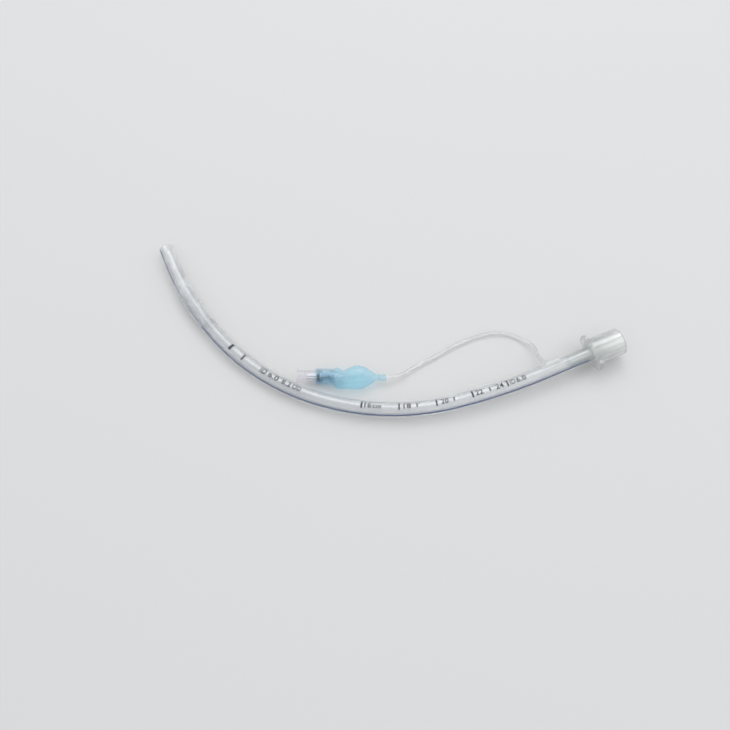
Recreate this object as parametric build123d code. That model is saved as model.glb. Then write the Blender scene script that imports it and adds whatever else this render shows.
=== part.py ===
from build123d import *
import os
from math import cos, degrees, pi, radians, sin, tan

os.makedirs("parts", exist_ok=True)

# Tube shaft. Lengths are in millimetres and angles in degrees
tube_outer = 8.2
tube_bore = 6.0
machine_run = 26.0
gentle_radius = 340.0
gentle_turn = 9.0
main_radius = 127.0
main_turn = 62.5
tip_radius = 185.0
tip_turn = 18.5
tip_run = 17.5
bevel_angle = 38.0
tip_rounding = 0.3
eye_length = 8.0
eye_width = 5.4
rim_search = 0.01
eye_from_tip = 7.5

# Narrow lumen in the tube's wall that fills the cuff
lumen_bore = 0.7
lumen_side = 35.0
notch_from_end = 18.5
notch_length = 8.0
notch_pocket = 1.0
line_depth = 0.65

# Cuff
cuff_from_tip = 32.0
cuff_length = 32.0
collar_length = 4.0
collar_wall = 0.25
cuff_film = 0.15
cuff_fullness = 0.75
cuff_squareness = 0.6
cuff_stations = 8

# Breathing connector: a 15 mm cone with a taper of 1 in 40
cone_base = 15.47
cone_taper = 1 / 40
cone_length = 16.0
mouth_bore = 12.0
mouth_depth = 13.0
mouth_rounding = 0.4
flange_outer = 16.5
flange_thickness = 2.0
lug_span = 21.5
lug_height = 8.5
lug_rounding = 0.5
stem_length = 13.0
stem_bore = 4.6
stem_lead = 1.5
stem_lead_depth = 0.3
funnel_end = 1.0

# Inflation line
line_outer = 2.2
line_bore = 1.0
line_seat = 4.2
line_lead = 5.6
arc_share = 0.45

# Pilot balloon
balloon_length = 23.0
balloon_width = 14.4
balloon_height = 8.2
balloon_film = 0.3
collar_film = 0.8
neck_outer = 3.4
neck_length = 5.2

# Valve on the pilot balloon
port_rim = 7.4
port_rim_length = 1.0
port_outer = 6.6
port_length = 10.3
socket_mouth = 4.28
socket_depth = 7.5
socket_taper = 0.06
throat_bore = 3.2
throat_end = 11.0
seat_depth = 0.8
chamber_bore = 5.2
body_end = 14.0
sleeve_outer = 8.6
sleeve_length = 9.8
sleeve_rounding = 0.35
tail_outer = 6.2
tail_length = 2.1
tail_grip = 1.9
stem_cone_length = 6.0
stem_cone_end = 3.2
tail_passage = 1.4
spring_pocket = 3.1
spring_pocket_depth = 2.4
plunger_front = 5.6
plunger_pin = 2.7
plunger_web = 0.9
seal_front = 11.1
seal_outer = 4.4
seal_length = 1.5
seal_gap = 0.12
plunger_neck = 1.8
plunger_flange = 3.4
plunger_flange_length = 0.5
plunger_guide = 1.5
plunger_guide_length = 3.4
spring_outer = 2.7
spring_wire = 0.34
spring_turns = 8.5

# Where the pilot balloon's valve lies, seen from the tube's machine end
port_x = -150.3
port_y = 52.8
pilot_turn = -24.7

# Share of the main bend, from its machine side, that touches the surface
bend_rest = 0.69

tube_radius = tube_outer / 2
line_radius = line_outer / 2
cuff_radius = tube_radius + cuff_fullness
port_from_tip = cuff_from_tip + cuff_length / 2
lumen_turn = tip_turn - degrees((port_from_tip - lumen_bore - tip_run) / tip_radius)
sleeve_radius = sleeve_outer / 2
sleeve_end = port_length + sleeve_length
neck_end = sleeve_end + balloon_length + neck_length
cone_end = flange_thickness + cone_length
tail_start = sleeve_end - tail_length
tail_grip_end = sleeve_end + tail_grip
pocket_end = tail_start + spring_pocket_depth
seal_end = seal_front + seal_length
flange_end = seal_end + plunger_flange_length
tube_length = (
    machine_run + tip_run
    + radians(gentle_turn) * gentle_radius
    + radians(main_turn) * main_radius
    + radians(tip_turn) * tip_radius
)


def turned(*outline):
    """Solid turned about X from an outline of (x, radius) points."""
    return revolve(make_face(Polyline(*outline, close=True)), Axis.X)


def bends(start=0.0, turn=tip_turn, end_run=tip_run):
    """Centreline from a distance along the machine end to a place on the tip's bend or the tip."""
    straight = Line((-start, 0), (-machine_run, 0))
    gentle = JernArc(straight @ 1, straight % 1, gentle_radius, -gentle_turn)
    main = JernArc(gentle @ 1, gentle % 1, main_radius, -main_turn)
    tip = JernArc(main @ 1, main % 1, tip_radius, -turn)
    edges = [straight, gentle, main, tip]
    if end_run:
        edges.append(Line(tip @ 1, tip @ 1 + (tip % 1) * end_run))
    return Wire(edges)


centreline = bends()
tip_point = centreline @ 1
tip_direction = centreline % 1


def wall_point(radius):
    """Place in the tube's section, as (inside of the bend, up), on the lumen's side."""
    return radius * sin(radians(lumen_side)), radius * cos(radians(lumen_side))


def along(from_tip):
    """Plane across the tube at a distance from its tip."""
    place = centreline.location_at(tube_length - from_tip, position_mode=PositionMode.LENGTH)
    return Plane(place)


def rod_along(path, diameter, inward=0.0, up=0.0):
    """Round rod swept along a flat path that starts towards -X."""
    start = path @ 0
    section = Plane(origin=(start.X, start.Y + inward, up), z_dir=(-1, 0, 0)) * Circle(diameter / 2)
    return sweep(section, path=path)


def lying_plane():
    """Plane of the bent tube as it rests on its flange, its main bend and its cuff."""
    arc_start = centreline.position_at(
        machine_run + radians(gentle_turn) * gentle_radius + bend_rest * radians(main_turn) * main_radius,
        position_mode=PositionMode.LENGTH,
    )
    cuff_middle = along(port_from_tip).origin
    flange = Vector(flange_thickness / 2, 0, flange_outer / 2)
    bend = Vector(arc_start.X, arc_start.Y, tube_radius)
    cuff = Vector(cuff_middle.X, cuff_middle.Y, cuff_radius)
    normal = (bend - flange).cross(cuff - flange).normalized()
    if normal.Z < 0:
        normal = normal * -1
    height = flange.Z + (normal.X * flange.X + normal.Y * flange.Y) / normal.Z
    return Plane(origin=(0, 0, height), x_dir=(1, 0, -normal.X / normal.Z), z_dir=normal)


lying = lying_plane()
pilot = Plane(
    origin=(port_x, port_y, sleeve_radius),
    x_dir=(cos(radians(pilot_turn)), sin(radians(pilot_turn)), 0),
    z_dir=(0, 0, 1),
)


def line_route():
    """Corners of the inflation line, from the tube's notch to the balloon's neck."""
    inward, up = wall_point(tube_radius + line_radius - line_depth)
    seat = [
        lying.from_local_coords((-notch_from_end - notch_pocket, inward, up)),
        lying.from_local_coords((-notch_from_end - notch_length, inward, up)),
    ]
    free = [
        (-26.6, 10.2, 7.4),
        (-23.6, 18.4, 3.2),
        (-27.5, 26.4, 1.3),
        (-34.5, 33.4, 1.2),
        (-46.0, 37.0, 1.2),
        (-60.5, 37.2, 1.2),
        (-75.0, 34.9, 1.2),
        (-91.0, 33.2, 1.3),
    ]
    neck = [
        pilot.from_local_coords((neck_end + line_lead, 0, 0)),
        pilot.from_local_coords((neck_end - line_seat, 0, 0)),
    ]
    return seat + [Vector(*point) for point in free] + neck


def bend_radii(points):
    """Radius of each corner: as large as the two runs beside it allow."""
    radii = []
    for before, corner, after in zip(points, points[1:], points[2:]):
        turn = radians((corner - before).get_angle(after - corner))
        shorter = min((corner - before).length, (after - corner).length)
        radii.append(arc_share * shorter / tan(turn / 2))
    return radii


def line_path():
    """Straight runs joined by tangent arcs."""
    points = line_route()
    return FilletPolyline(*points, radius=bend_radii(points))


def line_rod(diameter):
    """Rod of the inflation line's whole length."""
    path = line_path()
    return sweep(Plane(origin=path @ 0, z_dir=path % 0) * Circle(diameter / 2), path=path)


def notch_and_seat():
    """Notch that the line's end lies in, with a small pocket over the wall lumen."""
    inward, up = wall_point(tube_radius + line_radius - line_depth)
    across = Plane(origin=(-notch_from_end, inward, up), z_dir=(-1, 0, 0))
    return extrude(across * Circle(line_radius), notch_length)


def cuff_port():
    """Hole from the wall lumen into the cuff."""
    across = along(port_from_tip)
    inward, up = wall_point(1)
    out = across.z_dir.cross(Vector(0, 0, 1)) * inward + Vector(0, 0, up)
    lumen_radius = (tube_outer + tube_bore) / 4
    hole = Plane(origin=across.origin + out * lumen_radius, z_dir=out) * Circle(lumen_bore / 2)
    return extrude(hole, tube_radius)


def side_eye():
    """Oval hole through the wall opposite the bevel."""
    across = along(eye_from_tip + eye_length / 2)
    below = Plane(origin=across.origin, x_dir=across.z_dir, z_dir=(0, 0, -1))
    return extrude(below * Ellipse(eye_length / 2, eye_width / 2), tube_outer)


def tube_shaft():
    """Bent tube with its bevelled tip, side eye, wall lumen and notch."""
    tube = rod_along(centreline, tube_outer) - rod_along(centreline, tube_bore)
    inward, up = wall_point((tube_outer + tube_bore) / 4)
    lumen_path = bends(notch_from_end + notch_pocket / 2, lumen_turn, 0)
    tube -= rod_along(lumen_path, lumen_bore, inward, up)
    tube -= cuff_port()
    tube -= side_eye()
    tube -= notch_and_seat()
    facing = tip_direction * sin(radians(bevel_angle)) + Vector(0, 0, cos(radians(bevel_angle)))
    bevel = Plane(origin=tip_point - Vector(0, 0, tube_radius), z_dir=facing)
    tube = split(tube, bisect_by=bevel, keep=Keep.BOTTOM)
    rim = tube.edges().filter_by(lambda edge: abs(bevel.to_local_coords(edge.center()).Z) < rim_search)
    return fillet(rim, tip_rounding)


def cuff():
    """Slack film between two collars that are bonded to the tube."""
    far = cuff_from_tip + cuff_length - collar_length
    near = cuff_from_tip + collar_length
    collar = tube_radius + collar_wall
    stations = []
    for step in range(cuff_stations + 1):
        share = step / cuff_stations
        bulge = sin(pi * share) ** cuff_squareness
        stations.append((near + share * (far - near), collar + bulge * (cuff_radius - collar)))
    film = loft([along(place) * Circle(radius) for place, radius in stations])
    film -= loft([along(place) * Circle(radius - cuff_film) for place, radius in stations])
    for start in (cuff_from_tip, far):
        film += loft([along(place) * Circle(collar) for place in (start, start + collar_length)])
    return film - rod_along(centreline, tube_outer)


def connector():
    """Moulded connector: a stem in the tube, a flange with two lugs and the tapered cone."""
    cone_tip = cone_base - cone_length * cone_taper
    body = turned(
        (-stem_length, stem_bore / 2),
        (-stem_length, tube_bore / 2 - stem_lead_depth),
        (-stem_length + stem_lead, tube_bore / 2),
        (0, tube_bore / 2),
        (0, flange_outer / 2),
        (flange_thickness, flange_outer / 2),
        (flange_thickness, cone_base / 2),
        (cone_end, cone_tip / 2),
        (cone_end, mouth_bore / 2),
        (cone_end - mouth_depth, mouth_bore / 2),
        (-funnel_end, stem_bore / 2),
    )
    rims = body.edges().filter_by(GeomType.CIRCLE).group_by(Axis.X)[-1]
    body = fillet(rims, mouth_rounding)
    outline = Plane.YZ * RectangleRounded(lug_span, lug_height, lug_height / 2 - lug_rounding)
    lugs = extrude(outline, flange_thickness)
    lugs = fillet(lugs.edges().filter_by(Plane.YZ), lug_rounding)
    lugs -= Plane.YZ * Pos(0, 0, flange_thickness / 2) * Cylinder(flange_outer / 2 - lug_rounding, flange_outer)
    return body + lugs


def inflation_line():
    """Thin hose from the notch to the balloon's neck."""
    return line_rod(line_outer) - line_rod(line_bore)


def oval(place, width, height):
    """Section of the balloon across the valve's axis."""
    return Plane(origin=(place, 0, 0), x_dir=(0, 1, 0), z_dir=(1, 0, 0)) * Ellipse(width / 2, height / 2)


def balloon_shape(film):
    """Solid of the balloon, a film's thickness in from its outside."""
    grip = tail_outer + 2 * collar_film
    stations = [
        (0.0, grip, grip),
        (0.24, balloon_width * 0.93, balloon_height * 0.98),
        (0.47, balloon_width, balloon_height),
        (0.72, balloon_width * 0.84, balloon_height * 0.95),
        (1.0, neck_outer, neck_outer),
    ]
    sections = [
        oval(sleeve_end + share * balloon_length, width - 2 * film, height - 2 * film)
        for share, width, height in stations
    ]
    return loft(sections)


def disc_along(start, end, diameter):
    """Cylinder along X."""
    return extrude(Plane(origin=(start, 0, 0), z_dir=(1, 0, 0)) * Circle(diameter / 2), end - start)


def pilot_balloon():
    """Flat blown balloon with a collar on the valve's tail and a neck on the line."""
    shell = balloon_shape(0) + disc_along(neck_end - neck_length, neck_end, neck_outer)
    hollow = balloon_shape(balloon_film) & disc_along(tail_grip_end, neck_end, balloon_width * 2)
    shell -= hollow
    shell -= disc_along(sleeve_end, tail_grip_end, tail_outer)
    return shell - disc_along(neck_end - neck_length - balloon_film, neck_end, line_outer)


def valve_body():
    """Clear front of the valve: the syringe port and the seal's seat."""
    socket_end = socket_mouth - socket_depth * socket_taper
    return turned(
        (0, socket_mouth / 2),
        (0, port_rim / 2),
        (port_rim_length, port_rim / 2),
        (port_rim_length, port_outer / 2),
        (body_end, port_outer / 2),
        (body_end, chamber_bore / 2),
        (throat_end + seat_depth, chamber_bore / 2),
        (throat_end + seat_depth, throat_bore / 2 + seat_depth),
        (throat_end, throat_bore / 2),
        (socket_depth, throat_bore / 2),
        (socket_depth, socket_end / 2),
    )


def valve_sleeve():
    """Blue sleeve that holds the body and the tail together."""
    sleeve = turned(
        (port_length, port_outer / 2),
        (port_length, sleeve_radius),
        (sleeve_end, sleeve_radius),
        (sleeve_end, tail_outer / 2),
        (tail_start, tail_outer / 2),
        (tail_start, chamber_bore / 2),
        (body_end, chamber_bore / 2),
        (body_end, port_outer / 2),
    )
    rims = sleeve.edges().filter_by(GeomType.CIRCLE).sort_by(lambda edge: edge.radius)[-2:]
    return fillet(rims, sleeve_rounding)


def valve_tail():
    """Plug in the sleeve's back: the spring's pocket and the stem inside the balloon."""
    return turned(
        (tail_start, spring_pocket / 2),
        (tail_start, tail_outer / 2),
        (tail_grip_end, tail_outer / 2),
        (sleeve_end + stem_cone_length, stem_cone_end / 2),
        (sleeve_end + stem_cone_length, tail_passage / 2),
        (pocket_end, tail_passage / 2),
        (pocket_end, spring_pocket / 2),
    )


def valve_plunger():
    """Plunger: a fluted pin that a syringe pushes, the seal's neck and the spring's guide."""
    pin = disc_along(plunger_front, seal_front, plunger_pin)
    length = seal_front - plunger_front
    middle = Pos(plunger_front + length / 2, 0, 0)
    pin &= middle * (Box(length, plunger_web, plunger_pin) + Box(length, plunger_pin, plunger_web))
    neck = disc_along(seal_front, seal_end, plunger_neck)
    flange = disc_along(seal_end, flange_end, plunger_flange)
    guide = disc_along(flange_end, flange_end + plunger_guide_length, plunger_guide)
    return pin + neck + flange + guide


def valve_seal():
    """Dark rubber ring with a cone that closes the seat."""
    lead = throat_bore / 2 - throat_end - seal_gap / cos(pi / 4)
    return turned(
        (seal_front, plunger_neck / 2),
        (seal_front, seal_front + lead),
        (seal_outer / 2 - lead, seal_outer / 2),
        (seal_end, seal_outer / 2),
        (seal_end, plunger_neck / 2),
    )


def valve_spring():
    """Coil from the plunger's flange to the bottom of the tail's pocket."""
    height = pocket_end - flange_end - spring_wire
    coil = Helix(
        pitch=height / spring_turns,
        height=height,
        radius=(spring_outer - spring_wire) / 2,
        center=(flange_end + spring_wire / 2, 0, 0),
        direction=(1, 0, 0),
    )
    wire = Plane(origin=coil @ 0, z_dir=coil % 0) * Circle(spring_wire / 2)
    return sweep(wire, path=coil, is_frenet=True)


line = inflation_line()
pieces = {
    "tube_shaft": lying * tube_shaft() - line_rod(line_outer),
    "cuff": lying * cuff(),
    "connector": lying * connector(),
    "inflation_line": line,
    "pilot_balloon": pilot * pilot_balloon(),
    "valve_body": pilot * valve_body(),
    "valve_sleeve": pilot * valve_sleeve(),
    "valve_tail": pilot * valve_tail(),
    "valve_plunger": pilot * valve_plunger(),
    "valve_seal": pilot * valve_seal(),
    "valve_spring": pilot * valve_spring(),
}
held = pieces["tube_shaft"].bounding_box()
for name in ("cuff", "connector"):
    held = held.add(pieces[name].bounding_box())
home = Pos(-held.center().X, -held.center().Y, -held.min.Z)

for name, piece in pieces.items():
    export_step(home * piece, f"parts/{name}.step")
    print(name, len(piece.solids()), piece.is_valid, round(piece.volume, 2))
print("line radii", [round(radius, 1) for radius in bend_radii(line_route())])
length = line_path().length
section = pi * (line_radius**2 - line_bore**2 / 4)
print("line volume over section times length", round(line.volume / (section * length), 4))
print("line length", round(length, 1), "origin", home.position)
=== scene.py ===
from math import atan2, cos, degrees, exp, pi, radians, sin

import bmesh
import bpy
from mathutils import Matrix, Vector, noise


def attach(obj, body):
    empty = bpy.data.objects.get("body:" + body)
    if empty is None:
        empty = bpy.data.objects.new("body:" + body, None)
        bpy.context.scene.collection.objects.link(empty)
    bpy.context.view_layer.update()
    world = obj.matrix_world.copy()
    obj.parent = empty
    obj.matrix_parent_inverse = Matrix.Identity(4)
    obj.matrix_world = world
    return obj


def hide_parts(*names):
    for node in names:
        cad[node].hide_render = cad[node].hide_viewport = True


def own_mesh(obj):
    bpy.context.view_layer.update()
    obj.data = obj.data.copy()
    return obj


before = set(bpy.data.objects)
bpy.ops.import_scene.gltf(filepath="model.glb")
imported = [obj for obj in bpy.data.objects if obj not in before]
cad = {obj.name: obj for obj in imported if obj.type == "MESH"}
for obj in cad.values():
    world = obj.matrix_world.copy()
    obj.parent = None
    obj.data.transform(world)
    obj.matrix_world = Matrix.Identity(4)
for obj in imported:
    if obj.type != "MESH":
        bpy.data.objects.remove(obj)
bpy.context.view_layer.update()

MM = 0.001


def mm(*point):
    """Point from lengths in millimetres."""
    return Vector(point) * MM


# Tube's own frame: its machine end, the way out of the connector, and up across the bend's plane
tube_origin = mm(87.6067, -77.1189, 8.2511)
tube_out = Vector((0.999422, 0.0, 0.033996))
tube_up = Vector((-0.033985, -0.025376, 0.9991))
tube_inward = tube_up.cross(tube_out)
tube_radius = 4.1 * MM
# Runs of the tube from its machine end: radius of the bend (0 is straight) and length
tube_runs = [
    (0.0, 26.0 * MM),
    (340.0 * MM, 340.0 * MM * radians(9.0)),
    (127.0 * MM, 127.0 * MM * radians(62.5)),
    (185.0 * MM, 185.0 * MM * radians(18.5)),
    (0.0, 17.5 * MM),
]
tube_length = sum(length for _, length in tube_runs)

# Valve's own frame: the syringe port's mouth, the way towards the balloon, and level across it
port_origin = mm(-62.6933, -24.3189, 4.3351)
port_along = Vector((0.908508, -0.417867, 0.0))
port_across = Vector((0.417867, 0.908508, 0.0))

# Corners of the inflation line, from the tube's notch to the balloon's neck
line_route = [
    (67.989, -74.605, 11.378), (60.993, -74.605, 11.140), (61.007, -66.919, 7.435),
    (64.007, -58.719, 3.235), (60.107, -50.719, 1.335), (53.107, -43.719, 1.235),
    (41.607, -40.119, 1.235), (27.107, -39.919, 1.235), (12.607, -42.219, 1.235),
    (-3.393, -43.919, 1.335), (-13.725, -46.842, 4.335), (-22.628, -42.747, 4.335),
]
line_outer = 2.2 * MM
line_bore = 1.0 * MM


# Places on the tube and the valve

def tube_place(from_tip):
    """Centre and inward direction of the tube at a distance from its tip."""
    left = tube_length - from_tip
    x = y = turned = 0.0
    for radius, length in tube_runs:
        step = min(left, length)
        if radius:
            angle = step / radius
            x -= radius * (sin(turned + angle) - sin(turned))
            y += radius * (cos(turned) - cos(turned + angle))
            turned += angle
        else:
            x -= step * cos(turned)
            y += step * sin(turned)
        left -= step
        if left <= 0:
            break
    centre = tube_origin + tube_out * x + tube_inward * y
    inward = tube_out * sin(turned) + tube_inward * cos(turned)
    return centre, inward


def on_tube(from_tip, angle, radius):
    """Point round the tube: 0 degrees is the outside of the bend, 90 is the top and 180 the inside."""
    centre, inward = tube_place(from_tip)
    turn = radians(angle)
    return centre + (tube_up * sin(turn) - inward * cos(turn)) * radius


def round_tube(width):
    """Degrees that a width takes up round the tube."""
    return degrees(width / tube_radius)


def at_valve(along, across=0.0, up=0.0):
    """Point in the valve's frame, from lengths in millimetres."""
    return port_origin + (port_along * along + port_across * across) * MM + Vector((0, 0, up)) * MM


def smooth(low, high, value):
    """Share from 0 to 1 as value goes from low to high, with soft ends."""
    share = min(max((value - low) / (high - low), 0.0), 1.0)
    return share * share * (3 - 2 * share)


def through(stations, place):
    """Value at a place between stations of (place, value), along a smooth curve."""
    last = len(stations) - 2
    index = next((i for i in range(last) if place <= stations[i + 1][0]), last)
    (x0, y0), (x1, y1) = stations[index], stations[index + 1]
    before = stations[max(index - 1, 0)]
    after = stations[min(index + 2, len(stations) - 1)]
    slope_in = (y1 - before[1]) / (x1 - before[0])
    slope_out = (after[1] - y0) / (after[0] - x0)
    run = x1 - x0
    t = min(max((place - x0) / run, 0.0), 1.0)
    return (
        (2 * t ** 3 - 3 * t ** 2 + 1) * y0 + (t ** 3 - 2 * t ** 2 + t) * run * slope_in
        + (3 * t ** 2 - 2 * t ** 3) * y1 + (t ** 3 - t ** 2) * run * slope_out
    )


# Objects and meshes

def add_object(name, data):
    """Object for a mesh, curve, camera or lamp, in the scene."""
    made = bpy.data.objects.new(name, data)
    bpy.context.scene.collection.objects.link(made)
    return made


def piece(name, points, faces, finish, body):
    """New smooth mesh of the object, with its finish, that rides on a body."""
    mesh = bpy.data.meshes.new(name)
    mesh.from_pydata([tuple(point) for point in points], [], faces)
    mesh.validate()
    mesh.materials.append(finish)
    mesh.polygons.foreach_set("use_smooth", [True] * len(mesh.polygons))
    made = add_object(name, mesh)
    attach(made, body)
    return made


def mesh_of(curve):
    """Mesh that Blender makes of a curve or of words."""
    held = add_object(curve.name, curve)
    bpy.context.view_layer.update()
    mesh = bpy.data.meshes.new_from_object(held.evaluated_get(bpy.context.evaluated_depsgraph_get()))
    bpy.data.objects.remove(held)
    return mesh


def rings_to_faces(count, around, closed_ends=False, joined=False):
    """Faces between rings that follow each other in the list of points."""
    faces = []
    spans = count if joined else count - 1
    for index in range(spans):
        here, there = index * around, (index + 1) % count * around
        for step in range(around):
            after = (step + 1) % around
            faces.append((here + step, here + after, there + after, there + step))
    if closed_ends:
        faces.append(tuple(reversed(range(around))))
        faces.append(tuple((count - 1) * around + step for step in range(around)))
    return faces


def grid_to_faces(rows, columns, first=0):
    """Faces between points laid out in rows, from a first point on."""
    width = columns + 1
    return [
        (corner, corner + 1, corner + width + 1, corner + width)
        for row in range(rows)
        for corner in range(first + row * width, first + row * width + columns)
    ]


def ring_frames(path):
    """Two directions across a path at each of its points, carried along without twist."""
    across = (path[1] - path[0]).orthogonal().normalized()
    frames = []
    for index in range(len(path)):
        ahead = path[min(index + 1, len(path) - 1)] - path[max(index - 1, 0)]
        across = (across - ahead * (across.dot(ahead) / ahead.length_squared)).normalized()
        frames.append((across, ahead.cross(across).normalized()))
    return frames


def ring(centre, first, second, radius, around):
    """Points of a circle."""
    return [
        centre + (first * cos(2 * pi * step / around) + second * sin(2 * pi * step / around)) * radius
        for step in range(around)
    ]


def hose(path, outer, bore, around):
    """Points and faces of a hose with its bore, closed by a flat ring at each end."""
    frames = ring_frames(path)
    points = []
    for centre, (first, second) in zip(path, frames):
        points += ring(centre, first, second, outer / 2, around)
    for centre, (first, second) in reversed(list(zip(path, frames))):
        points += ring(centre, first, second, bore / 2, around)
    return points, rings_to_faces(2 * len(path), around, joined=True)


def rod(path, radius, around):
    """Points and faces of a round rod with flat ends."""
    points = []
    for centre, (first, second) in zip(path, ring_frames(path)):
        points += ring(centre, first, second, radius, around)
    return points, rings_to_faces(len(path), around, closed_ends=True)


# Nodes and shared effects

def set_sockets(target, **values):
    """Plain values on a node's own inputs, named with _ for a space."""
    for label, value in values.items():
        target.inputs[label.replace("_", " ")].default_value = value


def node(tree, kind, links=(), **values):
    """New node with its settings and inputs, and with links of (input, from socket)."""
    made = tree.nodes.new(kind)
    for name, value in values.items():
        if name[0].isupper():
            set_sockets(made, **{name: value})
        else:
            setattr(made, name, value)
    for target, source in links:
        tree.links.new(source, made.inputs[target])
    return made


def maths(tree, operation, first, second, clamp=False):
    """Result of a Math node on two sockets or numbers."""
    made = node(tree, "ShaderNodeMath", operation=operation, use_clamp=clamp)
    for socket, source in zip(made.inputs, (first, second)):
        if isinstance(source, (int, float)):
            socket.default_value = source
        else:
            tree.links.new(source, socket)
    return made.outputs[0]


def colour_between(tree, share, first, second):
    """Colour mixed from two colour sockets by a share."""
    made = node(tree, "ShaderNodeMix", data_type="RGBA")
    for socket, source in ((0, share), (6, first), (7, second)):
        tree.links.new(source, made.inputs[socket])
    return made.outputs[2]


def group(name, inputs, outputs):
    """Empty node group with named sockets."""
    tree = bpy.data.node_groups.new(name, "ShaderNodeTree")
    kinds = {"colour": "NodeSocketColor", "value": "NodeSocketFloat"}
    for label, kind, default in inputs:
        socket = tree.interface.new_socket(label, in_out="INPUT", socket_type=kinds[kind])
        socket.default_value = default
    for label, kind in outputs:
        tree.interface.new_socket(label, in_out="OUTPUT", socket_type=kinds[kind])
    return tree, tree.nodes.new("NodeGroupInput"), tree.nodes.new("NodeGroupOutput")


def moulding_group():
    """Uneven clearness, shine and surface of an extruded or moulded plastic."""
    grain_height = 0.35
    tree, given, out = group(
        "moulding",
        [
            ("Colour", "colour", (0.8, 0.8, 0.8, 1)), ("Cloud Colour", "colour", (1, 1, 1, 1)),
            ("Clouds", "value", 0.3), ("Cloud Scale", "value", 200.0),
            ("Roughness", "value", 0.2), ("Roughness Spread", "value", 0.1),
            ("Grain Scale", "value", 2500.0),
        ],
        [("Colour", "colour"), ("Roughness", "value"), ("Height", "value")],
    )
    place = tree.nodes.new("ShaderNodeTexCoord").outputs["Object"]
    get = given.outputs
    clouds = node(tree, "ShaderNodeTexNoise", [("Vector", place), ("Scale", get["Cloud Scale"])], Detail=3.0)
    grain = node(tree, "ShaderNodeTexNoise", [("Vector", place), ("Scale", get["Grain Scale"])], Detail=2.0)
    share = maths(tree, "MULTIPLY", clouds.outputs["Fac"], get["Clouds"], clamp=True)
    colour = colour_between(tree, share, get["Colour"], get["Cloud Colour"])
    swing = maths(tree, "SUBTRACT", clouds.outputs["Fac"], 0.5)
    swing = maths(tree, "MULTIPLY", swing, get["Roughness Spread"])
    roughness = maths(tree, "ADD", get["Roughness"], swing, clamp=True)
    height = maths(tree, "MULTIPLY", grain.outputs["Fac"], grain_height)
    height = maths(tree, "ADD", height, clouds.outputs["Fac"])
    for label, source in (("Colour", colour), ("Roughness", roughness), ("Height", height)):
        tree.links.new(source, out.inputs[label])
    return tree


def film_group():
    """Fine creases of a blown film: sharp where it was folded, soft between, with a painted highlight along
    them.
    """
    crease_wander, crease_width, crease_height = 0.006, 0.12, 0.5
    tree, given, out = group(
        "film_creases_and_highlights",
        [
            ("Colour", "colour", (0.8, 0.8, 0.8, 1)), ("Crease Colour", "colour", (1, 1, 1, 1)),
            ("Crease Scale", "value", 180.0), ("Creases", "value", 0.5), ("Stretch", "value", 1.0),
        ],
        [("Colour", "colour"), ("Mask", "value"), ("Height", "value")],
    )
    get = given.outputs
    scale = ("Scale", get["Crease Scale"])
    stretch = node(tree, "ShaderNodeCombineXYZ", [("Y", get["Stretch"])], X=1.0, Z=1.0)
    flat = tree.nodes.new("ShaderNodeTexCoord").outputs["Object"]
    drawn = node(tree, "ShaderNodeVectorMath", [(0, flat), (1, stretch.outputs[0])], operation="MULTIPLY")
    place = drawn.outputs[0]
    bend = node(tree, "ShaderNodeTexNoise", [("Vector", place), scale], Detail=2.0)
    shift = node(
        tree, "ShaderNodeVectorMath", [(0, bend.outputs["Color"])], operation="SCALE", Scale=crease_wander,
    )
    bent = node(tree, "ShaderNodeVectorMath", [(0, place), (1, shift.outputs[0])], operation="ADD")
    cells = node(
        tree, "ShaderNodeTexVoronoi", [("Vector", bent.outputs[0]), scale], feature="DISTANCE_TO_EDGE",
    )
    edge = node(
        tree, "ShaderNodeMapRange", [("Value", cells.outputs["Distance"])],
        From_Max=crease_width, To_Min=1.0, To_Max=0.0,
    )
    mask = maths(tree, "MULTIPLY", edge.outputs[0], get["Creases"], clamp=True)
    # Painted highlight: along the creases the colour turns to the lighter highlight colour.
    colour = colour_between(tree, mask, get["Colour"], get["Crease Colour"])
    height = maths(tree, "ADD", maths(tree, "MULTIPLY", mask, crease_height), bend.outputs["Fac"])
    for label, source in (("Colour", colour), ("Mask", mask), ("Height", height)):
        tree.links.new(source, out.inputs[label])
    return tree


moulding = moulding_group()
film_creases_and_highlights = film_group()


# Finishes

bump_depth = 0.2 * MM


def new_finish(name):
    """Material with its tree, its shader and its output."""
    made = bpy.data.materials.new(name)
    made.use_nodes = True
    tree = made.node_tree
    shader = next(part for part in tree.nodes if part.type == "BSDF_PRINCIPLED")
    out = next(part for part in tree.nodes if part.type == "OUTPUT_MATERIAL")
    return made, tree, shader, out


def use_group(tree, shader, effect, bump, **values):
    """Places a shared effect in a material and joins its results to the shader."""
    made = node(tree, "ShaderNodeGroup", node_tree=effect)
    set_sockets(made, **values)
    tree.links.new(made.outputs["Colour"], shader.inputs["Base Color"])
    if "Roughness" in made.outputs:
        tree.links.new(made.outputs["Roughness"], shader.inputs["Roughness"])
    relief = node(
        tree, "ShaderNodeBump", [("Height", made.outputs["Height"])], Strength=bump, Distance=bump_depth,
    )
    tree.links.new(relief.outputs["Normal"], shader.inputs["Normal"])
    return made


def join_clear(tree, shader, out, tint):
    """Joins a shader with clear, tinted see-through, and gives back the node that mixes them."""
    clear = node(tree, "ShaderNodeBsdfTransparent", Color=(*tint, 1))
    both = node(tree, "ShaderNodeMixShader", [(1, clear.outputs[0]), (2, shader.outputs[0])])
    tree.links.new(both.outputs[0], out.inputs["Surface"])
    return both


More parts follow.
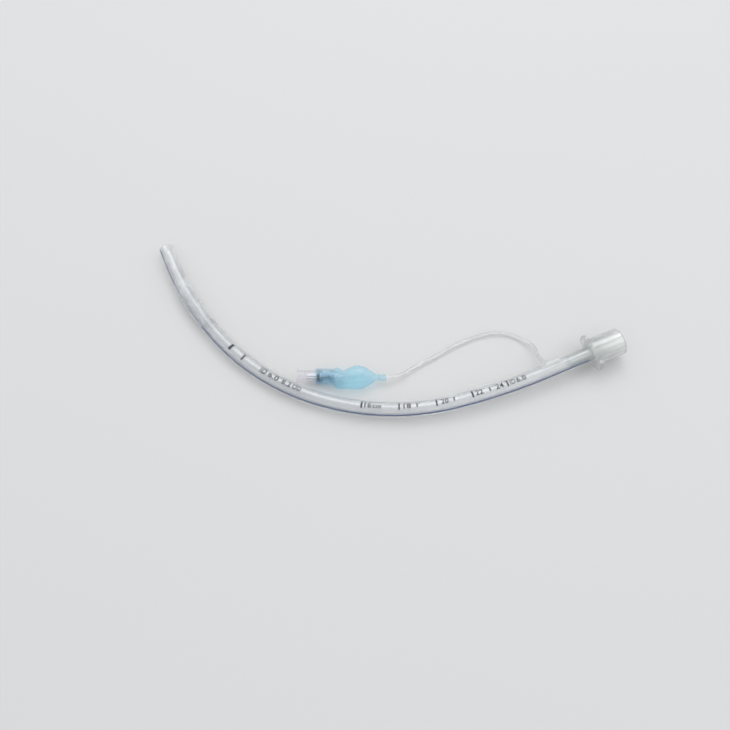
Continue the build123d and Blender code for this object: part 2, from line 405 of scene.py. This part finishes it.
def clear_plastic(
    name, colour, cloud, clouds, roughness, transmission, ior, straight, tint, bump=0.15, scale=160.0,
):
    """Clear or milky plastic with faint clouds in it, which lets a share of the light straight through."""
    unevenness = 0.8
    made, tree, shader, out = new_finish(name)
    use_group(
        tree, shader, moulding, bump, Colour=(*colour, 1), Cloud_Colour=(*cloud, 1), Clouds=clouds,
        Cloud_Scale=scale, Roughness=roughness, Roughness_Spread=roughness * unevenness,
    )
    set_sockets(
        shader, Transmission_Weight=transmission, IOR=ior,
        Coat_Weight=1.0, Coat_IOR=1.8, Coat_Roughness=0.06,
    )
    join_clear(tree, shader, out, tint).inputs[0].default_value = 1 - straight
    return made


def film_plastic(
    name, colour, crease, tint, solid, roughness, scale, creases, bump, transmission=0.0, ior=1.5, rim=0.0,
    stretch=1.0,
):
    """Thin blown film: partly see-through, denser at its edges, with a painted highlight along its creases:
    a lighter colour and a more solid share there.
    """
    crease_solid, rim_blend = 0.35, 0.35
    made, tree, shader, out = new_finish(name)
    lines = use_group(
        tree, shader, film_creases_and_highlights, bump, Colour=(*colour, 1), Crease_Colour=(*crease, 1),
        Crease_Scale=scale, Creases=creases, Stretch=stretch,
    )
    set_sockets(
        shader, Roughness=roughness, Transmission_Weight=transmission, IOR=ior,
        Coat_Weight=1.0, Coat_IOR=2.0, Coat_Roughness=0.12,
    )
    both = join_clear(tree, shader, out, tint)
    # Painted highlight: the creases' mask makes the film more solid there, so the lighter crease colour
    # shows.
    share = maths(tree, "MULTIPLY", lines.outputs["Mask"], crease_solid)
    facing = node(tree, "ShaderNodeLayerWeight", Blend=rim_blend).outputs["Facing"]
    edge = maths(tree, "MULTIPLY", maths(tree, "POWER", facing, 2.0), rim)
    share = maths(tree, "ADD", share, edge)
    tree.links.new(maths(tree, "ADD", share, solid, clamp=True), both.inputs[0])
    return made


def solid_finish(name, colour, cloud, clouds, roughness, spread, bump, scale=300.0, metallic=0.0):
    """Plain moulded plastic, rubber, ink, metal or paper."""
    made, tree, shader, _ = new_finish(name)
    use_group(
        tree, shader, moulding, bump, Colour=(*colour, 1), Cloud_Colour=(*cloud, 1), Clouds=clouds,
        Cloud_Scale=scale, Roughness=roughness, Roughness_Spread=spread,
    )
    set_sockets(shader, Metallic=metallic)
    return made


clear_tube = clear_plastic(
    "clear_tube", colour=(0.975, 0.985, 0.995), cloud=(0.93, 0.955, 0.975), clouds=0.35, roughness=0.10,
    transmission=0.88, ior=1.45, straight=0.50, tint=(0.985, 0.99, 0.995),
)
clear_line = clear_plastic(
    "clear_line", colour=(0.975, 0.98, 0.98), cloud=(0.92, 0.93, 0.93), clouds=0.3, roughness=0.10,
    transmission=0.92, ior=1.42, straight=0.50, tint=(0.99, 0.99, 0.99), bump=0.03,
)
milky_connector = clear_plastic(
    "milky_connector", colour=(0.93, 0.95, 0.94), cloud=(0.86, 0.89, 0.87), clouds=0.4, roughness=0.20,
    transmission=0.80, ior=1.48, straight=0.20, tint=(0.97, 0.98, 0.975), bump=0.1, scale=220.0,
)
clear_port = clear_plastic(
    "clear_port", colour=(0.97, 0.965, 0.985), cloud=(0.92, 0.91, 0.95), clouds=0.2, roughness=0.06,
    transmission=0.92, ior=1.42, straight=0.78, tint=(0.99, 0.985, 0.995), bump=0.05,
)
blue_sleeve = clear_plastic(
    "blue_sleeve", colour=(0.56, 0.84, 0.99), cloud=(0.62, 0.86, 0.99), clouds=0.3, roughness=0.08,
    transmission=0.90, ior=1.38, straight=0.80, tint=(0.87, 0.955, 1.0), bump=0.05,
)
pale_stem = clear_plastic(
    "pale_stem", colour=(0.88, 0.94, 0.98), cloud=(0.82, 0.90, 0.95), clouds=0.3, roughness=0.2,
    transmission=0.6, ior=1.42, straight=0.60, tint=(0.95, 0.975, 0.995), bump=0.1,
)
# In these films, crease is the colour of a painted highlight along the creases, lighter than the film
# itself.
blue_film = film_plastic(
    "blue_film", colour=(0.28, 0.74, 0.98), crease=(0.55, 0.87, 1.0), tint=(0.91, 0.985, 1.0), solid=0.21,
    roughness=0.12, scale=90.0, creases=0.12, bump=0.2, transmission=0.4, ior=1.15, rim=0.55,
)
cuff_film = film_plastic(
    "cuff_film", colour=(0.96, 0.97, 0.985), crease=(0.99, 0.99, 1.0), tint=(0.98, 0.988, 0.993), solid=0.16,
    roughness=0.12, scale=330.0, creases=0.45, bump=0.5, rim=0.9, stretch=0.22,
)
glue = film_plastic(
    "glue", colour=(0.84, 0.86, 0.86), crease=(0.95, 0.96, 0.96), tint=(0.9, 0.92, 0.92), solid=0.55,
    roughness=0.25, scale=300.0, creases=0.2, bump=0.3,
)
white_plug = solid_finish(
    "white_plug", colour=(0.84, 0.87, 0.89), cloud=(0.76, 0.81, 0.85), clouds=0.4, roughness=0.32,
    spread=0.1, bump=0.1,
)
dark_rubber = solid_finish(
    "dark_rubber", colour=(0.045, 0.055, 0.06), cloud=(0.08, 0.09, 0.10), clouds=0.4, roughness=0.55,
    spread=0.2, bump=0.3, scale=900.0,
)
spring_steel = solid_finish(
    "spring_steel", colour=(0.52, 0.54, 0.57), cloud=(0.38, 0.40, 0.43), clouds=0.5, roughness=0.30,
    spread=0.15, bump=0.15, scale=900.0, metallic=1.0,
)
print_ink = solid_finish(
    "print_ink", colour=(0.012, 0.013, 0.018), cloud=(0.10, 0.10, 0.12), clouds=0.35, roughness=0.5,
    spread=0.2, bump=0.1, scale=1800.0,
)
stripe_blue = solid_finish(
    "stripe_blue", colour=(0.020, 0.060, 0.20), cloud=(0.04, 0.10, 0.28), clouds=0.4, roughness=0.3,
    spread=0.1, bump=0.05, scale=500.0,
)


# Camera

look_at = mm(-25.3, -30.9, 0.04)
camera_distance = 481.2 * MM
azimuth, elevation = radians(-23.589), radians(62.604)
lens, sensor_width = 43.26, 36.0

back = Vector((sin(azimuth) * cos(elevation), -cos(azimuth) * cos(elevation), sin(elevation)))
camera = add_object("camera", bpy.data.cameras.new("camera"))
camera.location = look_at + back * camera_distance
camera.rotation_euler = (-back).to_track_quat("-Z", "Y").to_euler()
camera.data.lens = lens
camera.data.sensor_width = sensor_width
camera.data.clip_start, camera.data.clip_end = 0.01, 20.0
bpy.context.scene.camera = camera


# Inflation line

def spline_points(corners, resolution):
    """Points along the smooth line that has the route's corners as its control points."""
    curve = bpy.data.curves.new("route", "CURVE")
    curve.dimensions = "3D"
    curve.resolution_u = resolution
    spline = curve.splines.new("NURBS")
    spline.points.add(len(corners) - 1)
    for control, corner in zip(spline.points, corners):
        control.co = (*mm(*corner), 1)
    spline.order_u = 3
    spline.use_endpoint_u = True
    mesh = mesh_of(curve)
    points = [vertex.co.copy() for vertex in mesh.vertices]
    bpy.data.meshes.remove(mesh)
    return points


def make_line():
    """Thin hose from the notch in the tube's wall to the balloon's neck."""
    path = spline_points(line_route, resolution=16)
    points, faces = hose(path, line_outer, line_bore, around=28)
    line = piece("clear_inflation_line", points, faces, clear_line, "tube")
    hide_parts("inflation_line")


make_line()


# Stripe within the tube's wall

def make_stripe():
    """Long blue stripe, a thin strip that is narrower at its outer face."""
    start, end, step = 6.9 * MM, 292.5 * MM, 1.5 * MM
    middle, half = 15.0, round_tube(1.15 * MM / 2)
    inner, outer = 3.6 * MM, 4.04 * MM
    outer_half = half * 0.8
    section = [
        (-half, inner), (-outer_half, outer), (0, outer), (outer_half, outer), (half, inner), (0, inner),
    ]
    count = round((end - start) / step)
    points = []
    for index in range(count + 1):
        place = start + (end - start) * index / count
        points += [on_tube(place, middle + turn, radius) for turn, radius in section]
    faces = rings_to_faces(count + 1, len(section), closed_ends=True)
    piece("blue_stripe", points, faces, stripe_blue, "tube")


make_stripe()


# Print on the tube

ink_radius = tube_radius + 0.03 * MM
# Bars: distance from the tip and width in millimetres, and the angles at which they start and end
bars = [
    (85.3, 1.6, 66, 122), (94.8, 1.1, 66, 120),
    (165.8, 0.95, 68, 122), (185.6, 0.8, 68, 122), (205.5, 0.8, 68, 122), (225.2, 0.9, 68, 122),
    (244.9, 0.8, 68, 122), (195.1, 0.7, 80, 110), (215.0, 0.7, 80, 110), (234.9, 0.8, 80, 110),
]
# Words: text, its start and end from the tip, its middle angle, its height and its boldness
words_on_tube = [
    ("ID", 107.0, 110.9, 97, 3.3, 0.030),
    ("6.0", 112.4, 118.5, 97, 3.0, 0.030),
    ("8.2", 120.8, 126.2, 97, 3.0, 0.026),
    ("OD", 127.3, 132.2, 97, 3.0, 0.026),
    ("16", 167.3, 171.0, 96, 2.8, 0.028),
    ("cm", 171.7, 176.2, 94, 2.5, 0.028),
    ("18", 187.9, 191.8, 96, 2.8, 0.030),
    ("20", 207.9, 211.9, 96, 2.8, 0.028),
    ("22", 226.9, 231.0, 96, 2.8, 0.030),
    ("24", 238.2, 242.6, 96, 2.8, 0.030),
    ("ID", 246.3, 249.2, 96, 2.8, 0.026),
    ("6.0", 250.0, 255.5, 96, 2.8, 0.028),
]


def make_bars():
    """Printed bars across the tube."""
    steps = 8
    points, faces = [], []
    for place, width, low, high in bars:
        faces += grid_to_faces(steps, 1, first=len(points))
        for step in range(steps + 1):
            turn = low + (high - low) * step / steps
            points += [
                on_tube((place - width / 2) * MM, turn, ink_radius),
                on_tube((place + width / 2) * MM, turn, ink_radius),
            ]
    piece("depth_bars", points, faces, print_ink, "tube")


def flat_text(text, height, boldness):
    """Flat mesh of a few letters, cut finely enough to be wrapped round the tube."""
    capital_share, letter_gap = 0.72, 1.08
    margin, cut_step = 0.5 * MM, 0.25 * MM
    curve = bpy.data.curves.new("words", "FONT")
    curve.body = text
    curve.size = height / capital_share
    curve.space_character = letter_gap
    curve.offset = height * boldness
    mesh = mesh_of(curve)
    letters = bmesh.new()
    letters.from_mesh(mesh)
    bpy.data.meshes.remove(mesh)
    level = -margin
    while level < height + margin:
        everything = letters.verts[:] + letters.edges[:] + letters.faces[:]
        bmesh.ops.bisect_plane(letters, geom=everything, plane_co=(0, level, 0), plane_no=(0, 1, 0))
        level += cut_step
    return letters


def make_numbers():
    """Sizes and depth numbers, each stretched to its length along the tube."""
    points, faces = [], []
    for text, start, end, angle, height, boldness in words_on_tube:
        letters = flat_text(text, height * MM, boldness)
        letters.verts.ensure_lookup_table()
        low = min(vertex.co.x for vertex in letters.verts)
        high = max(vertex.co.x for vertex in letters.verts)
        first = len(points)
        for vertex in letters.verts:
            turn = angle + round_tube(vertex.co.y - height * MM / 2)
            place = start + (end - start) * (vertex.co.x - low) / (high - low)
            points.append(on_tube(place * MM, turn, ink_radius))
        faces += [tuple(first + vertex.index for vertex in face.verts) for face in letters.faces]
        letters.free()
    piece("depth_numbers", points, faces, print_ink, "tube")


make_bars()
make_numbers()


# Cuff

cuff_start, cuff_end, cuff_collar = 32.0 * MM, 64.0 * MM, 4.0 * MM
cuff_gap, cuff_wall, cuff_lip = 0.02 * MM, 0.25 * MM, 0.35 * MM
# Millimetres by which the film stands off the tube, plain and in its folds and ripples
cuff_slack, cuff_fold_height, cuff_ripple_height = 0.12, 0.48, 0.07
# Lengthwise folds: angle round the tube in radians, and sharpness
cuff_folds = [(0.3, 5.0), (1.15, 8.0), (2.1, 4.5), (2.9, 9.0), (3.7, 6.0), (4.6, 7.5), (5.5, 5.5)]


def cuff_fold(angle, along):
    """Height of the slack film's lengthwise folds, from 0 to 1."""
    turn = radians(angle)
    wander = 0.5 * sin(along * 5.1 + 1.3) + 0.35 * sin(along * 11.7 + 0.4)
    height = 0.0
    for index, (middle, sharp) in enumerate(cuff_folds):
        away = turn - middle - wander * 0.22 * (1 if index % 2 else -1)
        away = atan2(sin(away), cos(away))
        height = max(height, exp(-abs(away) * sharp) * (0.7 + 0.3 * sin(along * 7 + index * 1.9)))
    return height


def make_cuff():
    """Slack film sleeve between two bonded collars."""
    around, count = 160, 110
    film_start, film_length = cuff_start + cuff_collar, cuff_end - cuff_start - 2 * cuff_collar
    fold_reach, ripple_round, ripple_along, fullness = 6.28, 3.2, 9, 0.6
    points = []
    for index in range(count + 1):
        place = cuff_start + index / count * (cuff_end - cuff_start)
        wall = cuff_wall * smooth(0, cuff_lip, min(place - cuff_start, cuff_end - place))
        film = max(0.0, min(1.0, (place - film_start) / film_length))
        bulge = sin(pi * film) ** fullness if 0 < film < 1 else 0.0
        for step in range(around):
            angle = 360.0 * step / around
            fold = cuff_fold(angle, film * fold_reach)
            x, y = cos(radians(angle)) * ripple_round, sin(radians(angle)) * ripple_round
            ripple = noise.noise(Vector((x, y, film * ripple_along)))
            out = bulge * (cuff_slack + cuff_fold_height * fold + cuff_ripple_height * ripple) * MM
            points.append(on_tube(place, angle, tube_radius + cuff_gap + wall + out))
    made = piece("slack_cuff", points, rings_to_faces(count + 1, around), cuff_film, "tube")
    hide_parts("cuff")


make_cuff()


# Glue over the notch where the line enters the tube's wall

def make_glue():
    """Low mound of glue, steeper at its machine end and uneven at its edges."""
    around, count = 28, 36
    start, end, middle = 266.2 * MM, 278.6 * MM, 125.0
    root, height = 0.04 * MM, 1.72 * MM
    least_spread, added_spread = 10, 17
    points = []
    for index in range(count + 1):
        share = index / count
        place = start + share * (end - start)
        rise = smooth(0, 0.30, share) * (1 - smooth(0.80, 1.0, share))
        rise *= 1 + 0.05 * sin(share * 17)
        spread = least_spread + added_spread * rise ** 0.5 + 2.0 * sin(share * 9 + 0.5)
        for step in range(around + 1):
            side = -1 + 2 * step / around
            crown = max(0.0, 1 - side * side) ** 0.75
            radius = tube_radius - root + height * rise * crown
            points.append(on_tube(place, middle + side * spread, radius))
    piece("notch_glue", points, grid_to_faces(count, around), glue, "tube")


make_glue()


# Pilot balloon, in millimetres along the valve's axis

balloon_start, neck_start, balloon_end = 20.1, 43.1, 48.3
collar_bore, collar_radius = 3.1, 3.6
neck_radius, neck_bore = 1.7, 1.12

# Half widths to each side and half height: place along the axis and size
balloon_left = [
    (balloon_start, 4.2), (21.2, 5.1), (22.3, 5.2), (23.6, 4.5), (24.8, 3.6), (25.8, 3.7), (27.6, 4.9),
    (30.3, 6.3), (33.0, 6.85), (35.7, 6.3), (38.5, 4.8), (41.2, 2.8), (neck_start, 1.72),
    (balloon_end, neck_radius),
]
balloon_right = [
    (balloon_start, 5.0), (21.2, 6.2), (22.3, 6.9), (24.0, 7.15), (26.4, 7.2), (30.0, 7.2), (34.4, 6.9),
    (37.6, 5.8), (40.2, 3.9), (42.0, 2.2), (neck_start, 1.72), (balloon_end, neck_radius),
]
balloon_half_height = [
    (balloon_start, 3.9), (21.4, 4.05), (23.0, 3.7), (25.0, 3.3), (28.0, 3.8), (32.0, 4.1), (36.0, 3.75),
    (39.5, 2.9), (42.0, 2.0), (neck_start, 1.72), (balloon_end, neck_radius),
]
# Lengthwise folds: angle round the axis, sharpness, depth, and where they start and end
balloon_folds = [
    (112, 9, 1.0, 22.5, 42.0), (78, 12, 0.7, 22.0, 31.0), (141, 11, 0.75, 21.5, 34.0),
    (96, 14, 0.5, 33.0, 42.5), (250, 8, 0.9, 23.0, 41.0), (300, 10, 0.6, 22.0, 33.0),
    (20, 10, 0.6, 24.0, 36.0), (190, 12, 0.6, 26.0, 40.0),
]


def balloon_fold(turn, along):
    """Depth of the balloon's folds, from 0 to 1."""
    fade_in, fade_out = 3.5, 4.0
    depth = 0.0
    for angle, sharp, share, start, end in balloon_folds:
        away = turn - radians(angle) - 0.07 * sin(along * 0.45 + angle)
        away = atan2(sin(away), cos(away))
        reach = smooth(start, start + fade_in, along) * (1 - smooth(end - fade_out, end, along))
        depth = max(depth, share * reach * exp(-abs(away) * sharp))
    return depth


def balloon_dent(turn, along):
    """Uneven swell of the film, which fades out at the collar and the neck."""
    swell, crease_rise, sink = 0.34, 0.22, 0.16
    reach = smooth(20.3, 24.0, along) * (1 - smooth(40.0, neck_start, along))
    rough = noise.noise(Vector((along * 0.42, cos(turn) * 1.9, sin(turn) * 1.9 + 3)))
    crease = 1 - abs(noise.noise(Vector((along * 0.16 + 7, cos(turn) * 2.6, sin(turn) * 2.6)))) * 4
    return reach * (swell * rough + crease_rise * max(crease, 0.0) - sink)


def make_balloon():
    """Crumpled film balloon, open at the valve's tail and at the line."""
    around, count = 144, 120
    dent_across, dent_up = 0.10, 0.16
    fold_across, fold_up = 0.08, 0.22
    turns = [2 * pi * step / around for step in range(around)]

    def circle(along, radius):
        """Ring of points round the valve's axis."""
        return [at_valve(along, radius * cos(turn), radius * sin(turn)) for turn in turns]

    points = circle(balloon_start, collar_bore) + circle(balloon_start, collar_radius)
    for index in range(count + 1):
        along = balloon_start + (balloon_end - balloon_start) * index / count
        left, right = through(balloon_left, along), through(balloon_right, along)
        half_height = through(balloon_half_height, along)
        for turn in turns:
            across = (left if cos(turn) > 0 else right) * cos(turn)
            up = half_height * sin(turn)
            dent, fold = balloon_dent(turn, along), balloon_fold(turn, along)
            across *= 1 + dent * dent_across - fold * fold_across
            up *= 1 + dent * dent_up - fold * fold_up
            points.append(at_valve(along, across, up))
    points += circle(balloon_end, neck_bore)
    faces = rings_to_faces(count + 4, around)
    made = piece("crumpled_balloon", points, faces, blue_film, "tube")
    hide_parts("pilot_balloon")


make_balloon()


# Valve spring

def make_spring():
    """Steel coil between the plunger's flange and the tail."""
    low, high, wire, radius = 13.1, 20.4, 0.17, 1.18
    turns, steps = 9, 28
    path = []
    for index in range(turns * steps + 1):
        turn = index / steps
        climb = low + wire + (high - low - 2 * wire) * turn / turns
        path.append(at_valve(climb, radius * cos(2 * pi * turn), radius * sin(2 * pi * turn)))
    points, faces = rod(path, wire * MM, around=10)
    made = piece("coil_spring", points, faces, spring_steel, "tube")
    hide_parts("valve_spring")
    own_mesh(made)


make_spring()


# Finishes of the pieces whose CAD shape stays

for name, finish in (
    ("tube_shaft", clear_tube), ("connector", milky_connector), ("valve_body", clear_port),
    ("valve_sleeve", blue_sleeve), ("valve_tail", pale_stem), ("valve_plunger", white_plug),
    ("valve_seal", dark_rubber),
):
    finishes = cad[name].data.materials
    finishes.clear()
    finishes.append(finish)


# Floor and light

def make_floor():
    """Plain pale floor, wide enough to fill every view."""
    reach = 12.0
    corners = [(-reach, -reach, 0), (reach, -reach, 0), (reach, reach, 0), (-reach, reach, 0)]
    mesh = bpy.data.meshes.new("floor")
    mesh.from_pydata(corners, [], [(0, 1, 2, 3)])
    mesh.materials.append(solid_finish(
        "floor_paper", colour=(0.70, 0.70, 0.70), cloud=(0.74, 0.74, 0.74), clouds=0.3, roughness=0.9,
        spread=0.05, bump=0.02, scale=4.0,
    ))
    add_object("floor", mesh)


def make_world():
    """Soft room light: bright overhead and darker towards the horizon."""
    horizon, overhead = (0.50, 0.51, 0.53, 1), (0.98, 0.99, 1.0, 1)
    horizon_height, overhead_height = 0.02, 0.75
    strength = 0.84
    world = bpy.data.worlds.new("studio")
    world.use_nodes = True
    tree = world.node_tree
    direction = tree.nodes.new("ShaderNodeTexCoord").outputs["Generated"]
    parts = node(tree, "ShaderNodeSeparateXYZ", [("Vector", direction)])
    ramp = node(tree, "ShaderNodeValToRGB", [("Fac", parts.outputs["Z"])])
    low, high = ramp.color_ramp.elements
    low.position, low.color = horizon_height, horizon
    high.position, high.color = overhead_height, overhead
    background = next(part for part in tree.nodes if part.type == "BACKGROUND")
    tree.links.new(ramp.outputs["Color"], background.inputs["Color"])
    background.inputs["Strength"].default_value = strength
    bpy.context.scene.world = world


def make_lamp(name, place, size, power):
    """Round soft lamp that shines on the object from a place in metres."""
    light = bpy.data.lights.new(name, "AREA")
    light.shape = "DISK"
    light.size = size
    light.energy = power
    lamp = add_object(name, light)
    lamp.location = place
    lamp.rotation_euler = (-Vector(place)).to_track_quat("-Z", "Y").to_euler()


make_floor()
make_world()
make_lamp("key", (0.27, 0.66, 1.25), size=1.15, power=6.5)
make_lamp("fill", (0.9, -0.5, 1.2), size=0.9, power=2.0)
bpy.context.scene.view_settings.view_transform = "Standard"
